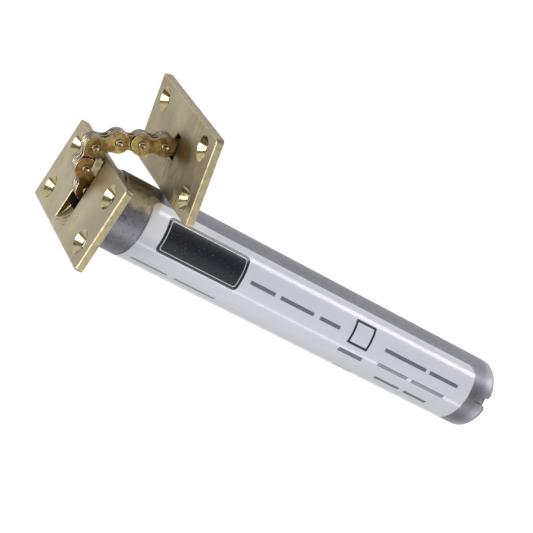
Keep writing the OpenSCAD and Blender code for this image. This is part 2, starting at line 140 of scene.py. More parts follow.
class Finish:
    """One finish as a node tree. Its patterns read the piece's own place, in millimetres."""

    def __init__(self, name, at=(0, 0, 0), turn=(0, 0, 0)):
        old = bpy.data.materials.get(name)
        if old is not None:
            bpy.data.materials.remove(old)
        self.material = bpy.data.materials.new(name)
        self.material.use_nodes = True
        self.tree = self.material.node_tree
        self.shader = next(n for n in self.tree.nodes if n.type == "BSDF_PRINCIPLED")
        mapping = self.add("ShaderNodeMapping", vector_type="TEXTURE")
        mapping.inputs["Location"].default_value = at
        mapping.inputs["Rotation"].default_value = turn
        mapping.inputs["Scale"].default_value = (MM, MM, MM)
        self.link(self.add("ShaderNodeTexCoord").outputs["Object"], mapping.inputs["Vector"])
        self.place = mapping.outputs["Vector"]
        axes = self.add("ShaderNodeSeparateXYZ")
        self.link(self.place, axes.inputs[0])
        self.x, self.y, self.z = axes.outputs

    def add(self, kind, **settings):
        node = self.tree.nodes.new(kind)
        for key, value in settings.items():
            setattr(node, key, value)
        return node

    def link(self, output, socket):
        self.tree.links.new(output, socket)

    def feed(self, socket, value):
        """Gives a socket a number, a colour or the output of another node."""
        if isinstance(value, bpy.types.NodeSocket):
            self.link(value, socket)
        elif socket.type == "RGBA":
            socket.default_value = (*value[:3], 1)
        else:
            socket.default_value = value

    def math(self, operation, *values):
        node = self.add("ShaderNodeMath", operation=operation)
        for socket, value in zip(node.inputs, values):
            self.feed(socket, value)
        return node.outputs[0]

    def plus(self, *values):
        total = values[0]
        for value in values[1:]:
            total = self.math("ADD", total, value)
        return total

    def minus(self, value, other):
        return self.math("SUBTRACT", value, other)

    def away(self, value, middle):
        """The distance of a value from a middle one."""
        return self.math("ABSOLUTE", self.minus(value, middle))

    def times(self, *values):
        total = values[0]
        for value in values[1:]:
            total = self.math("MULTIPLY", total, value)
        return total

    def fade(self, value, low, high):
        """0 below low and 1 above high, smooth between them; low may be the larger one."""
        node = self.add("ShaderNodeMapRange", interpolation_type="SMOOTHSTEP")
        for socket, number in zip(node.inputs, (value, low, high, 0.0, 1.0)):
            self.feed(socket, number)
        return node.outputs[0]

    def spread(self, value, low, high):
        """Turns 0 to 1 into low to high."""
        return self.plus(self.times(value, high - low), low)

    def length(self, *values):
        squares = [self.times(v, v) for v in values]
        return self.math("SQRT", self.plus(*squares))

    def scaled(self, size, stretch=(1, 1, 1), shift=(0, 0, 0)):
        node = self.add("ShaderNodeVectorMath", operation="MULTIPLY_ADD")
        self.link(self.place, node.inputs[0])
        node.inputs[1].default_value = [1 / (size * s) for s in stretch]
        node.inputs[2].default_value = shift
        return node.outputs[0]

    def cloud(self, size, detail=3.0, rough=0.5, stretch=(1, 1, 1), shift=(0, 0, 0), warp=0.0):
        """Soft noise of a size in millimetres, 0 to 1."""
        node = self.add("ShaderNodeTexNoise")
        self.link(self.scaled(size, stretch, shift), node.inputs["Vector"])
        node.inputs["Scale"].default_value = 1
        node.inputs["Detail"].default_value = detail
        node.inputs["Roughness"].default_value = rough
        node.inputs["Distortion"].default_value = warp
        return node.outputs[0]

    def specks(self, size, share, shift=(0, 0, 0)):
        """Small round spots, 1 inside: size is their spacing and share their radius in it."""
        node = self.add("ShaderNodeTexVoronoi")
        self.link(self.scaled(size, shift=shift), node.inputs["Vector"])
        node.inputs["Scale"].default_value = 1
        return self.fade(node.outputs["Distance"], share, share * 0.5)

    def colour(self, share, first, second):
        """first where share is 0, second where it is 1."""
        node = self.add("ShaderNodeMix", data_type="RGBA")
        self.feed(node.inputs[0], share)
        self.feed(node.inputs[6], first)
        self.feed(node.inputs[7], second)
        return node.outputs[2]

    def stain(self, base, colour, *shares):
        """Lays a colour over base by the product of the shares."""
        return self.colour(self.times(*shares), base, colour)

    def box_gap(self, u, v, centre, half):
        """The distance from a rectangle in the plane of u and v, 0 inside it."""
        du = self.math("MAXIMUM", self.minus(self.away(u, centre[0]), half[0]), 0)
        dv = self.math("MAXIMUM", self.minus(self.away(v, centre[1]), half[1]), 0)
        return self.length(du, dv)

    def box_mask(self, u, v, centre, half, corner=0.3, soft=0.08):
        """1 inside a rectangle with round corners in the plane of u and v."""
        gap = self.box_gap(u, v, centre, (half[0] - corner, half[1] - corner))
        return self.fade(gap, corner + soft, corner - soft)

    def relief(self, height, depth, below=None):
        """Bumps of a depth in millimetres, over those given before."""
        node = self.add("ShaderNodeBump")
        node.inputs["Strength"].default_value = 1
        node.inputs["Distance"].default_value = depth * MM
        self.feed(node.inputs["Height"], height)
        if below is not None:
            self.link(below, node.inputs["Normal"])
        return node.outputs[0]

    def surface(self, base, roughness, metallic=0.0, normal=None, **constants):
        """Joins the patterns to the shader. Further sockets get constants of their own."""
        self.feed(self.shader.inputs["Base Color"], base)
        self.feed(self.shader.inputs["Roughness"], roughness)
        self.feed(self.shader.inputs["Metallic"], metallic)
        if normal is not None:
            self.link(normal, self.shader.inputs["Normal"])
        for name, value in constants.items():
            self.feed(self.shader.inputs[name.replace("_", " ")], value)
        return self.material


def shade(colour, factor):
    return tuple(c * factor for c in colour)


def toward(colour, other, share):
    return tuple(a + (b - a) * share for a, b in zip(colour, other))


def face_plate_wear_and_shade(f, base, light, streaks):
    """The chain's wear below the slot, hand rubs on the face plate and painted shade at high Z."""
    rubs = f.fade(streaks, 0.56, 0.68)
    rubs = f.times(rubs, f.fade(f.away(f.z, 2.0), 22, 8), 0.35)
    worn_way = f.times(
        f.fade(f.y, -5.6, -8.0), f.fade(f.y, -17.5, -13.5), f.fade(f.away(f.z, 0.6), 7.0, 5.6)
    )
    sweep = f.plus(f.length(f.minus(f.y, -7.0), f.minus(f.z, -9.0)), f.times(f.cloud(3, 2), 1.2))
    waver = f.plus(sweep, f.times(f.cloud(2.4, 3), 3.2))
    scratch = f.fade(f.math("SINE", f.times(waver, 2 * pi / 2.3)), 0.45, 0.98)
    base = f.stain(base, OLIVE_STAIN, worn_way, f.fade(f.y, -15.0, -9.0), 0.25)
    base = f.stain(base, BROWN_STAIN, worn_way, scratch, 0.55)
    # Painted shade: the plate darker towards its high-Z end
    base = f.stain(base, shade(light, 0.58), f.fade(f.z, 12.0, 30.0), 0.6)
    return f.colour(rubs, base, (0.17, 0.155, 0.125)), rubs


def anchor_plate_wear_light_and_shade(f, base, light, streaks):
    """Anchor plate: drag marks, a brown spot above the slot, tarnish, painted shade and light."""
    drag = f.cloud(1.0, 5, 0.65, stretch=(1, 12, 1), shift=(0, 4, 2), warp=0.3)
    rubs = f.times(f.fade(drag, 0.5, 0.66), f.fade(f.away(f.z, -3.0), 26, 9))
    rubs = f.times(rubs, f.fade(f.away(f.y, -4.0), 17, 9), 0.6)
    spot = f.length(f.times(f.minus(f.y, 2.5), 0.95), f.times(f.minus(f.z, 10.0), 0.6))
    spot = f.fade(f.plus(spot, f.times(streaks, 4.0)), 10.5, 5.0)
    base = f.stain(base, (0.12, 0.062, 0.008), spot, 0.9)
    rubs = f.times(rubs, f.spread(spot, 1.0, 0.25))
    # Painted shade: the plate darker towards its low-Z end
    base = f.stain(base, shade(light, 0.62), f.fade(f.z, 2.0, -20.0), 0.4)
    # Painted light: the corner at low Y and high Z made much paler
    corner = f.times(f.fade(f.y, -10.5, -14.5), f.fade(f.z, 10.0, 20.0))
    base = f.stain(base, (1.0, 0.90, 0.64), corner, 0.95)
    tarnish = f.times(f.fade(f.z, -4.0, 14.0), f.fade(f.z, 34.0, 24.0), f.fade(streaks, 0.3, 0.6))
    tarnish = f.times(tarnish, f.fade(f.y, -14.5, -9.5))
    base = f.stain(base, (0.20, 0.14, 0.065), tarnish, 0.45)
    grain = f.cloud(0.85, 4, 0.6, stretch=(1, 9, 1), shift=(2, 6, 2), warp=1.1)
    grain = f.times(
        f.fade(grain, 0.54, 0.62), f.fade(f.y, -1.0, -6.0), f.fade(f.away(f.z, 6.0), 19, 11)
    )
    base = f.stain(base, (0.10, 0.065, 0.035), grain, 0.75)
    return f.colour(rubs, base, (0.20, 0.19, 0.18)), rubs


def ramp_arcs(f, normal):
    """Shallow cutter arcs on the ramp below the face plate's slot."""
    ring = f.length(f.minus(f.y, -21.0), f.minus(f.z, 5.0))
    wobble = f.plus(ring, f.times(f.cloud(5, 2), 2.5))
    arcs = f.math("SINE", f.times(wobble, 2 * pi / 0.9))
    arcs = f.times(f.fade(arcs, 0.86, 0.99), f.fade(f.cloud(2.5, 2, shift=(5, 5, 5)), 0.45, 0.6))
    arcs = f.times(arcs, f.fade(f.y, -8.0, -9.5), f.fade(f.away(f.z, 0.0), 10, 6))
    return f.relief(arcs, -0.05, normal)


def brass_face(name, colours, at, turn, chain_side):
    """Satin brass with brush lines along its short side, stains at the slot and worn edges."""
    f = Finish(name, at, turn)
    light = tuple(colours.brass)
    tone = f.cloud(11, 4, 0.55)
    brushed = f.cloud(0.32, 3, 0.6, stretch=(1, 34, 1))
    streaks = f.cloud(1.5, 4, 0.6, stretch=(1, 7, 1), shift=(3, 1, 7), warp=0.4)
    base = f.colour(f.fade(tone, 0.36, 0.66), light, shade(light, 0.84))
    base = f.stain(base, shade(light, 0.62), f.fade(brushed, 0.38, 0.7), 0.22)
    gap = f.box_gap(f.y, f.z, *(FACE_SLOT if chain_side else ANCHOR_SLOT))
    stained = f.fade(f.plus(gap, f.times(streaks, 9.0)), 10.5, 3.0)
    base = f.stain(base, OLIVE_STAIN, stained, 0.55)
    dark = f.fade(f.plus(gap, f.times(f.cloud(2.2, 4), 3.5)), 3.2, 1.2)
    base = f.stain(base, BROWN_STAIN, dark, 0.6)
    # The plates' wear also paints shade, and on the anchor plate a lit corner
    wear_light_and_shade = face_plate_wear_and_shade if chain_side else anchor_plate_wear_light_and_shade
    base, rubs = wear_light_and_shade(f, base, light, streaks)
    edge = f.math("MINIMUM", f.minus(HALF_Y, f.away(f.y, 0.0)), f.minus(HALF_Z, f.away(f.z, 0.0)))
    worn = f.fade(f.plus(edge, f.times(f.cloud(1.6, 3), 1.4)), 1.9, 0.8)
    base = f.stain(base, toward(light, (0.8, 0.7, 0.45), 0.5), worn, 0.5)
    dots = f.times(f.specks(3.4, 0.09), f.fade(tone, 0.4, 0.6))
    base = f.stain(base, BROWN_STAIN, dots, 0.6)
    low, high = (0.30, 0.44) if chain_side else (0.42, 0.56)
    roughness = f.plus(
        f.spread(tone, low, high), f.times(stained, 0.06), f.times(worn, -0.1), f.times(rubs, 0.12)
    )
    normal = f.relief(brushed, 0.010)
    normal = f.relief(tone, 0.05, normal)
    if chain_side:
        normal = ramp_arcs(f, normal)
    return f.surface(base, roughness, 1.0, normal)


def brass_sink(name, colours, at, turn):
    """Bright turned brass of the countersinks, fine rings about each hole, painted shade at the bore."""
    f = Finish(name, at, turn)
    light = toward(shade(tuple(colours.brass), 0.9), (0.52, 0.43, 0.22), 0.6)
    radius = f.length(f.minus(f.away(f.y, 0.0), HOLE_Y), f.minus(f.away(f.z, 0.0), HOLE_Z))
    rings = f.math("SINE", f.times(f.plus(radius, f.times(f.cloud(1.4, 2), 0.12)), 2 * pi / 0.21))
    tone = f.cloud(1.6, 3)
    base = f.colour(f.fade(tone, 0.35, 0.7), light, shade(light, 0.82))
    # Painted shade: darker towards the bore
    base = f.stain(base, shade(light, 0.4), f.fade(radius, 3.3, 2.5), 0.6)
    base = f.stain(base, shade(light, 0.7), f.fade(rings, 0.3, 1.0), 0.1)
    normal = f.relief(tone, 0.006)
    return f.surface(base, f.spread(tone, 0.17, 0.22), 1.0, normal)


def brass_edge(name, light, at, turn, rough):
    """Rubbed brass of the bevels and side walls, with small nicks."""
    f = Finish(name, at, turn)
    tone = f.cloud(2.4, 4)
    nicks = f.fade(f.cloud(0.8, 2, shift=(9, 2, 4)), 0.68, 0.74)
    base = f.colour(f.fade(tone, 0.38, 0.68), light, shade(light, 0.8))
    base = f.stain(base, shade(light, 0.45), nicks, 0.5)
    normal = f.relief(f.cloud(0.5, 2, stretch=(6, 1, 1)), 0.004)
    normal = f.relief(nicks, -0.012, normal)
    return f.surface(base, f.spread(tone, *rough), 1.0, normal)


def chain_face(colours):
    """Yellow passivated steel gone brown and olive under a film of oil, with painted shade at the slot."""
    f = Finish("chain_face")
    gold = tuple(colours.chain)
    brown = (0.25, 0.11, 0.035)
    olive = (0.27, 0.26, 0.075)
    pale = (0.52, 0.43, 0.23)
    patch = f.cloud(3.4, 4, 0.6, warp=0.5)
    small = f.cloud(0.9, 4, 0.6, shift=(4, 1, 8))
    grain = f.cloud(0.3, 3, 0.6, shift=(1, 9, 3))
    base = f.colour(f.fade(patch, 0.42, 0.60), shade(gold, 1.2), brown)
    base = f.stain(base, olive, f.fade(f.cloud(2.2, 4, shift=(9, 9, 1)), 0.50, 0.62), 0.6)
    base = f.stain(base, pale, f.fade(small, 0.55, 0.72), 0.55)
    near = f.times(f.fade(f.y, 17.0, 9.0), f.fade(patch, 0.66, 0.40))
    base = f.stain(base, (0.66, 0.33, 0.10), near, 0.75)
    # Painted shade: the links darker at low Y, where the chain goes into the slot
    slot_shade = f.fade(f.plus(f.y, f.times(small, -4.0)), 6.0, 3.0)
    base = f.stain(base, (0.11, 0.055, 0.02), slot_shade, 0.8)
    base = f.stain(base, (0.06, 0.035, 0.015), f.specks(1.3, 0.16), 0.7)
    roughness = f.plus(f.spread(patch, 0.24, 0.46), f.times(small, 0.1))
    normal = f.relief(small, 0.09)
    normal = f.relief(grain, 0.025, normal)
    return f.surface(base, roughness, 0.9, normal, Coat_Weight=0.2, Coat_Roughness=0.16)


def chain_edge(name, light, dark):
    """Bare rubbed steel at the chain's plate edges with dirt in the hollows; the callers' tones paint light and
    shade.
    """
    f = Finish(name)
    patch = f.cloud(1.7, 4, 0.6)
    lines = f.cloud(0.32, 3, 0.6, stretch=(1, 1, 5))
    base = f.colour(f.fade(patch, 0.38, 0.66), light, dark)
    base = f.stain(base, (0.07, 0.05, 0.035), f.fade(lines, 0.55, 0.75), 0.6)
    normal = f.relief(lines, 0.012)
    normal = f.relief(patch, 0.025, normal)
    return f.surface(base, f.spread(patch, 0.32, 0.50), 1.0, normal)


def pin_steel(name, light, dark):
    """Riveted pin ends, bright where hammered and brown in patches; a near-black copy is painted shadow."""
    f = Finish(name)
    patch = f.cloud(0.8, 4, 0.6)
    base = f.colour(f.fade(patch, 0.42, 0.66), light, dark)
    normal = f.relief(patch, 0.02)
    return f.surface(base, f.spread(patch, 0.28, 0.44), 1.0, normal)


def tube_front(f, base, grey, mottle, around, near):
    """The tube before the label: painted light, a painted brass reflection, painted shadow, dirt and a drop of
    resin.
    """
    # Painted light: the front made paler where the angle about the tube is below about 100 degrees
    base = f.stain(base, shade(grey, 1.35), near, f.fade(around, 112.0, 92.0), 0.8)
    rim = f.fade(f.plus(f.x, f.times(f.cloud(2.5, 4), 4.0)), 17.0, 13.2)
    base = f.stain(base, (0.10, 0.085, 0.07), rim, 0.35)
    # Painted reflection of the brass plates: a brown band that turns to a painted highlight near 50 degrees
    brass_reflection = f.fade(f.plus(f.away(around, 12.0), f.times(f.cloud(4, 3), 16.0)), 60.0, 48.0)
    lit = f.fade(f.plus(around, f.times(f.cloud(2.2, 3), 8.0)), 28.0, 50.0)
    reflection_colour = f.colour(lit, (0.40, 0.31, 0.19), (1.0, 0.88, 0.64))
    base = f.stain(base, reflection_colour, near, brass_reflection, f.spread(mottle, 0.8, 1.0))
    shadow = f.fade(f.plus(f.away(around, -12.0), f.times(f.cloud(3, 3), 10.0)), 41.0, 30.0)
    base = f.stain(base, (0.085, 0.06, 0.038), near, shadow, 0.85)
    dirt = f.fade(f.cloud(1.3, 4, 0.65, shift=(6, 2, 9)), 0.52, 0.64)
    base = f.stain(base, (0.09, 0.075, 0.065), near, dirt, 0.35)
    drop = f.length(f.minus(f.x, 26.2), f.times(f.minus(around, 36.0), 0.28))
    drop = f.fade(f.plus(drop, f.cloud(1.5, 3)), 3.6, 2.6)
    return f.stain(base, (0.85, 0.73, 0.50), drop, 0.8)


def tube_steel(colours):
    """Dull zinc-grey steel with a faint mottle, drawing lines, darker handling marks and painted light and shade.
    """
    f = Finish("tube_zinc")
    grey = tuple(colours.tube)
    mottle = f.cloud(2.3, 5, 0.62)
    broad = f.cloud(16, 3, stretch=(2, 1, 1))
    lines = f.cloud(0.4, 3, 0.6, stretch=(22, 1, 1))
    base = f.colour(f.fade(mottle, 0.36, 0.68), grey, shade(grey, 0.88))
    base = f.stain(base, shade(grey, 0.84), f.fade(broad, 0.42, 0.66), 0.35)
    base = f.stain(base, (0.07, 0.06, 0.055), f.specks(2.1, 0.10), 0.4)
    around = f.times(f.math("ARCTAN2", f.z, f.y), 180 / pi)
    near = f.fade(f.x, 27.0, 24.0)
    base = tube_front(f, base, grey, mottle, around, near)
    # Painted highlight: the rounded far end made much paler
    rear = f.fade(f.plus(f.x, f.times(mottle, 3.0)), 210.0, 216.0)
    base = f.colour(rear, base, shade(grey, 1.7))
    roughness = f.plus(f.spread(mottle, 0.46, 0.53), f.times(near, 0.04))
    normal = f.relief(lines, 0.004)
    normal = f.relief(mottle, 0.008, normal)
    return f.surface(base, roughness, 0.92, normal)


def on_label(degrees):
    """The length on the label's surface of an angle about the cylinder, in mm."""
    return radians(degrees) * LABEL_R


def label_print(f, along, around):
    """Plain printed shapes: a block with a thin line in it, bars and a hollow square."""
    block_at, square_at = (55.0, -16.6), (140.0, -16.8)
    block = f.box_mask(along, around, block_at, (20.6, 8.0), 2.0)
    line_out = f.box_mask(along, around, block_at, (19.3, 6.7), 1.2)
    line_in = f.box_mask(along, around, block_at, (18.95, 6.35), 1.1)
    printed = f.minus(block, f.times(f.minus(line_out, line_in), 0.85))
    # The middle of each bar along and about the cylinder, then half its length and height
    bars = [
        (38.5, 0.4, 9.0, 0.55), (61.5, 0.4, 10.5, 0.55),
        (86.0, -15.2, 6.6, 0.85), (104.5, -15.2, 9.0, 0.85), (122.5, -15.2, 5.6, 0.85),
        (140.0, -6.8, 6.6, 1.0), (145.0, 5.0, 5.2, 0.8),
        (165.5, -15.8, 12.0, 0.85), (188.0, -15.8, 8.4, 0.85),
        (163.0, -8.6, 8.6, 0.85), (183.6, -8.6, 9.6, 0.85),
        (166.0, -1.2, 7.2, 0.85), (182.4, -1.2, 6.6, 0.85),
    ]
    for bar_x, bar_v, half, tall in bars:
        bar = f.box_mask(along, around, (bar_x, bar_v), (half, tall), 0.25)
        printed = f.math("MAXIMUM", printed, f.times(bar, 0.78))
    square = f.box_mask(along, around, square_at, (5.6, 5.6), 0.5)
    hollow = f.box_mask(along, around, square_at, (4.5, 4.5), 0.4)
    printed = f.math("MAXIMUM", printed, f.minus(square, hollow))
    flaws = f.fade(f.cloud(0.7, 3, shift=(7, 3, 3)), 0.30, 0.36)
    return f.times(printed, f.spread(flaws, 0.86, 1.0))


def label_film(colours, sizes):
    """Pale glossy film with a thin fringe at its edge, print, a drop of resin, painted shade and light."""
    low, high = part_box("label")
    f = Finish("label_film", turn=(radians(sizes.label_middle_deg), 0, 0))
    along = f.x
    around = f.times(f.math("ARCTAN2", f.z, f.y), LABEL_R)
    middle = (low.x + high.x) / 2 / MM
    half_len = (high.x - low.x) / 2 / MM
    pale = tuple(colours.label)
    tone = f.cloud(26, 3, stretch=(2, 1, 1))
    base = f.colour(f.fade(tone, 0.35, 0.65), pale, shade(pale, 0.965))
    # Painted shade: darker towards the label's underside
    under = f.times(f.fade(around, on_label(-14), on_label(12)), 0.46)
    base = f.colour(under, base, shade(pale, 0.2))
    # Painted light: paler near the label's front, on its upper side
    bright = f.times(f.fade(along, 62.0, 40.0), f.fade(around, on_label(-34), on_label(-52)))
    base = f.stain(base, (0.94, 0.95, 1.0), bright, 0.8)
    wave = f.cloud(4.0, 3, shift=(2, 2, 2))
    half = (half_len - 0.3, on_label(LABEL_HALF_ANGLE) - 0.3)
    inner = f.box_mask(along, around, (middle, 0), half, 4.8, 0.12)
    copper = f.colour(f.fade(wave, 0.42, 0.6), (0.40, 0.33, 0.30), (0.62, 0.40, 0.30))
    fringe = f.colour(f.fade(along, high.x / MM - 9, high.x / MM - 3), (0.30, 0.29, 0.31), copper)
    base = f.colour(inner, fringe, base)
    drop_v = on_label(36 - sizes.label_middle_deg)
    drop = f.length(f.minus(along, 26.4), f.minus(around, drop_v))
    drop = f.fade(f.plus(drop, f.cloud(1.5, 3)), 4.4, 3.4)
    base = f.stain(base, (1.0, 0.90, 0.68), drop, 0.8)
    printed = label_print(f, along, around)
    base = f.colour(printed, base, tuple(colours.ink))
    roughness = f.plus(f.spread(wave, 0.20, 0.28), f.times(printed, 0.08))
    front = f.fade(along, 31.0, 26.5)
    wrinkle = f.times(f.cloud(1.6, 3, stretch=(1, 3, 3), warp=0.6), front)
    normal = f.relief(wrinkle, 0.16)
    normal = f.relief(wave, 0.04, normal)
    normal = f.relief(f.specks(5.5, 0.07, shift=(1, 0, 2)), 0.05, normal)
    return f.surface(
        base, roughness, 0.0, normal, Coat_Weight=0.35, Coat_Roughness=0.07, Specular_IOR_Level=0.25
    )


def metal(name, light, dark, size=2.0, stretch=(1, 1, 1), rough=(0.25, 0.42), depth=0.02):
    """A worked metal: two tones, lines or grain of one size, and a varied gloss."""
    f = Finish(name)
    tone = f.cloud(size * 3, 4)
    grain = f.cloud(size * 0.2, 3, 0.6, stretch=stretch)
    base = f.colour(f.fade(tone, 0.36, 0.66), light, dark)
    base = f.stain(base, shade(dark, 0.6), f.fade(grain, 0.5, 0.75), 0.35)
    normal = f.relief(grain, depth)
    normal = f.relief(tone, depth * 2, normal)
    return f.surface(base, f.spread(tone, *rough), 1.0, normal)


def dark_glaze():
    """Near-black glossy sealant with brown thin places."""
    f = Finish("collar_glaze")
    tone = f.cloud(1.2, 4)
    base = f.colour(f.fade(tone, 0.4, 0.65), (0.018, 0.018, 0.022), (0.085, 0.07, 0.06))
    normal = f.relief(f.cloud(0.5, 3), 0.06)
    return f.surface(
        base, f.spread(tone, 0.12, 0.34), 0.0, normal, Coat_Weight=0.6, Coat_Roughness=0.08
    )


def rubber():
    """Black seal rubber with moulding bloom."""
    f = Finish("seal_rubber")
    bloom = f.cloud(1.1, 4)
    base = f.colour(f.fade(bloom, 0.45, 0.75), (0.012, 0.012, 0.013), (0.05, 0.05, 0.052))
    normal = f.relief(f.cloud(0.25, 3), 0.02)
    return f.surface(base, f.spread(bloom, 0.48, 0.68), 0.0, normal)


def pale_plastic(colours):
    """Pale plastic, yellowed and scuffed at its corners."""
    f = Finish("keeper_plastic")
    pale = tuple(colours.keeper)
    tone = f.cloud(2.0, 4)
    scuff = f.fade(f.cloud(0.5, 3, shift=(3, 3, 9)), 0.62, 0.7)
    base = f.colour(f.fade(tone, 0.38, 0.66), pale, (0.34, 0.27, 0.15))
    base = f.stain(base, (0.8, 0.78, 0.7), scuff, 0.5)
    normal = f.relief(tone, 0.12)
    normal = f.relief(scuff, 0.03, normal)
    return f.surface(
        base, f.spread(tone, 0.2, 0.4), 0.0, normal, Coat_Weight=0.3, Coat_Roughness=0.15
    )


# Shapes ----


def merged(node):
    """The shape of a CAD node, its loose triangles joined and its flat areas cleared of edges."""
    bm = bmesh.new()
    bm.from_mesh(frame["nodes"][node].data)
    bmesh.ops.remove_doubles(bm, verts=bm.verts, dist=2e-6)
    bmesh.ops.dissolve_limit(
        bm, angle_limit=radians(0.4), verts=bm.verts, edges=bm.edges, delimit={"NORMAL"}
    )
    return bm


def soften(bm, width, segments=2, degrees=30, chosen=None):
    """Bevels the sharp edges, or those of them that chosen accepts."""
    bm.normal_update()
    edges = [
        edge for edge in bm.edges
        if len(edge.link_faces) == 2 and edge.calc_face_angle(0) > radians(degrees)
        and (chosen is None or chosen(edge))
    ]
    made = bmesh.ops.bevel(
        bm, geom=edges, offset=width, offset_type="OFFSET", segments=segments, profile=0.5,
        affect="EDGES", clamp_overlap=True, material=-1,
    )
    return made["faces"]


def smooth(bm, degrees=28):
    """Shades round areas smooth and leaves the sharp edges sharp."""
    bm.normal_update()
    for face in bm.faces:
        face.smooth = True
    for edge in bm.edges:
        edge.smooth = len(edge.link_faces) == 2 and edge.calc_face_angle(0) < radians(degrees)


def piece(name, bm, materials, slot, *nodes):
    """Makes a piece that stands for its CAD nodes and rides on their body."""
    old = bpy.data.objects.get(name)
    if old is not None:
        bpy.data.objects.remove(old)
    mesh = bpy.data.meshes.new(name)
    bm.to_mesh(mesh)
    bm.free()
    for material in materials:
        mesh.materials.append(material)
    made = bpy.data.objects.new(name, mesh)
    bpy.context.scene.collection.objects.link(made)
    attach(made, BODY_OF[nodes[0]])
    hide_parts(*nodes)
    return made


def even_shading(made):
    """Lets the large faces set the shading, so that a fine bevel doesn't tilt it."""
    weighted = made.modifiers.new("even_shading", "WEIGHTED_NORMAL")
    weighted.mode, weighted.weight, weighted.keep_sharp = "FACE_AREA_WITH_ANGLE", 50, True


def refined(name, node, material, slot, width=0.1 * MM, degrees=30):
    """A CAD node's shape with softened edges and smooth round areas, in one finish."""
    bm = merged(node)
    soften(bm, width, degrees=degrees)
    smooth(bm)
    made = piece(name, bm, [material], slot, node)
    even_shading(made)
    return made


def lathe(bm, outline, centre, axis, steps=32):
    """Spins an outline of (radius, height) points round an axis through centre, in mm."""
    axis = Vector(axis)
    side = Vector((0, 1, 0)) if axis.x else Vector((1, 0, 0))
    points = [bm.verts.new(Vector(centre) + (side * r + axis * h) * MM) for r, h in outline]
    edges = [bm.edges.new(pair) for pair in zip(points, points[1:])]
    if outline[0][0] > 0:
        edges.append(bm.edges.new((points[-1], points[0])))
    bmesh.ops.spin(
        bm, geom=points + edges, cent=centre, axis=axis, dvec=(0, 0, 0), angle=2 * pi,
        steps=steps, use_merge=True,
    )


def sealed(bm):
    bmesh.ops.remove_doubles(bm, verts=bm.verts, dist=1e-7)
    bmesh.ops.recalc_face_normals(bm, faces=bm.faces)


def coil(start, end, mean_r, wire_r, turns, sides, steps):
    """A round wire wound about X from start to end, with a closed turn at each end."""
    bm = bmesh.new()
    matrix = Matrix.Translation((start + wire_r, mean_r, 0))
    ring = bmesh.ops.create_circle(bm, cap_ends=False, radius=wire_r, segments=sides, matrix=matrix)
    first = list(bm.edges)
    geom = ring["verts"] + first
    length = end - start - 2 * wire_r
    flat = 2.04 * wire_r
    runs = [(1, flat), (turns - 2, length - 2 * flat), (1, flat)]
    centre = Vector((start + wire_r, 0, 0))
    for count, travel in runs:
        n = round(count * steps)
        made = bmesh.ops.spin(
            bm, geom=geom, cent=centre, axis=(1, 0, 0), dvec=(travel / n, 0, 0),
            angle=2 * pi * count, steps=n, use_merge=False,
        )
        geom = made["geom_last"]
        centre = centre + Vector((travel, 0, 0))
    last = [g for g in geom if isinstance(g, bmesh.types.BMEdge)]
    bmesh.ops.contextual_create(bm, geom=first)
    bmesh.ops.contextual_create(bm, geom=last)
    sealed(bm)
    smooth(bm, 50)
    return bm


# Settings ----


def length_setting(name, description, default, high=0.02):
    return bpy.props.FloatProperty(
        name=name, description=description, default=default, min=0.0, max=high,
        precision=5, subtype="DISTANCE", unit="LENGTH",
    )


def colour_setting(name, description, default):
    return bpy.props.FloatVectorProperty(
        name=name, description=description, default=default, size=3, min=0.0, max=1.0,
        subtype="COLOR",
    )


def power_setting(name, description, default):
    return bpy.props.FloatProperty(
        name=name, description=description, default=default, min=0.0, max=200.0, subtype="POWER"
    )


class CloserSizes(bpy.types.PropertyGroup):
    """Sizes of what is added to the solids"""

    plate_edge: length_setting("Plate edge", "Rounding of the brass plates' small edges", 0.00009)
    slot_edge: length_setting("Slot edge", "Bevel at the edges of the plates' slots", 0.00032)
    link_edge: length_setting("Link edge", "Rounding of the chain plates' edges", 0.00026)
    tube_edge: length_setting("Tube edge", "Rounding of the tube's rim and notch", 0.0003)
    keeper_edge: length_setting("Keeper edge", "Rounding of the keeper's corners", 0.0003)
    pin_rim: length_setting("Pin rim", "Outer radius of the hammered rim of a chain pin", 0.00148)
    pin_dimple: length_setting("Pin dimple", "Depth of the dimple in a chain pin's end", 0.0006)
    collar_lump: length_setting("Collar lumps", "Height of the lumps of the dark collar", 0.00035)
    label_middle_deg: bpy.props.FloatProperty(
        name="Label middle", description="Turn of the label's middle about the cylinder",
        default=132.0, min=0.0, max=360.0,
    )
    spring_turns: bpy.props.IntProperty(
        name="Spring turns", description="Turns of the closing spring", default=11, min=6, max=14
    )


class CloserColours(bpy.types.PropertyGroup):
    """Main colours of the finishes"""

    brass: colour_setting("Brass", "Satin brass of the two plates", (0.41, 0.345, 0.225))
    chain: colour_setting("Chain", "Yellow passivated chain plates", (0.40, 0.29, 0.10))
    tube: colour_setting("Tube", "Dull zinc-grey tube", (0.235, 0.232, 0.264))
    label: colour_setting("Label", "Pale film of the label", (0.72, 0.73, 0.80))
    ink: colour_setting("Print", "Print on the label", (0.012, 0.013, 0.022))
    keeper: colour_setting("Keeper", "Pale plastic of the keeper", (0.50, 0.44, 0.27))
    floor: colour_setting("Floor", "Floor that the closer lies on", (0.16, 0.16, 0.162))


class CloserLights(bpy.types.PropertyGroup):
    """Light of the stage"""

    overhead: power_setting("Overhead", "Power of the strip light overhead, in watts", 1.9)
    front: power_setting("Front", "Power of the light in front of the face plate, in watts", 7.5)
    back: power_setting("Back", "Power of the strip light beyond the cylinder, in watts", 5.2)
    sky: bpy.props.FloatProperty(
        name="Surround", description="Strength of the light from all round",
        default=0.9, min=0.0, max=5.0,
    )
    glow: bpy.props.FloatProperty(
        name="Floor glow", description="Brightness of the floor that no shadow takes away",
        default=0.98, min=0.0, max=2.0,
    )


# Pieces ----


